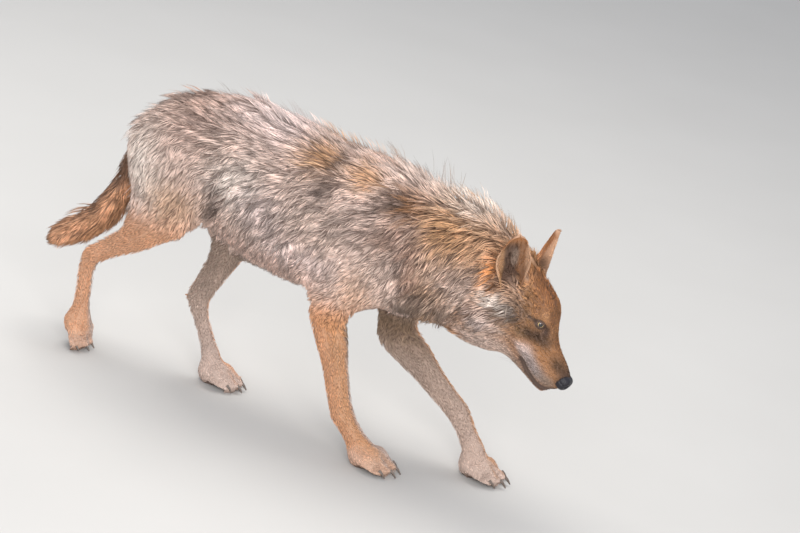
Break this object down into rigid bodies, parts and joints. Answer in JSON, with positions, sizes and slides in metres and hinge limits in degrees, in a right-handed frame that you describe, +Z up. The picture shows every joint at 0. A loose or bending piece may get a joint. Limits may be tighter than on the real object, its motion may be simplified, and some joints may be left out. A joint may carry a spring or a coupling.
{
  "type": "grey wolf model",
  "caption": "Still life-size model of a grey wolf walking with its head low and mouth closed, one hind foot up on its toes.",
  "frame": {"origin": "middle of the bounding box, at floor level", "axes": "+X the way the wolf faces, +Y its left side, +Z up"},
  "size_m": [1.1646, 0.2542, 0.6114],
  "materials": {
    "coat": "grizzled buff and grey fur, tawny on the neck, legs and tail, with dark-tipped guard hairs",
    "nose": "black, fine pebbled and slightly moist",
    "claw": "dark horn, satin",
    "eye": "amber iris with a round black pupil under a clear wet cornea"
  },
  "bodies": {
    "root": {"claw_foreleg_left_1": "claw", "claw_foreleg_left_2": "claw", "claw_foreleg_left_3": "claw", "claw_foreleg_left_4": "claw", "claw_foreleg_right_1": "claw", "claw_foreleg_right_2": "claw", "claw_foreleg_right_3": "claw", "claw_foreleg_right_4": "claw", "claw_hindleg_left_1": "claw", "claw_hindleg_left_2": "claw", "claw_hindleg_left_3": "claw", "claw_hindleg_left_4": "claw", "claw_hindleg_right_1": "claw", "claw_hindleg_right_2": "claw", "claw_hindleg_right_3": "claw", "claw_hindleg_right_4": "claw", "ear_left": "coat", "ear_right": "coat", "eye_left": "eye", "eye_right": "eye", "foreleg_left_lower": "coat", "foreleg_left_paw": "coat", "foreleg_left_upper": "coat", "foreleg_right_lower": "coat", "foreleg_right_paw": "coat", "foreleg_right_upper": "coat", "head": "coat", "hindleg_left_lower": "coat", "hindleg_left_paw": "coat", "hindleg_left_upper": "coat", "hindleg_right_lower": "coat", "hindleg_right_paw": "coat", "hindleg_right_upper": "coat", "neck": "coat", "nose": "nose", "tail": "coat", "trunk": "coat"}
  },
  "joints": []
}
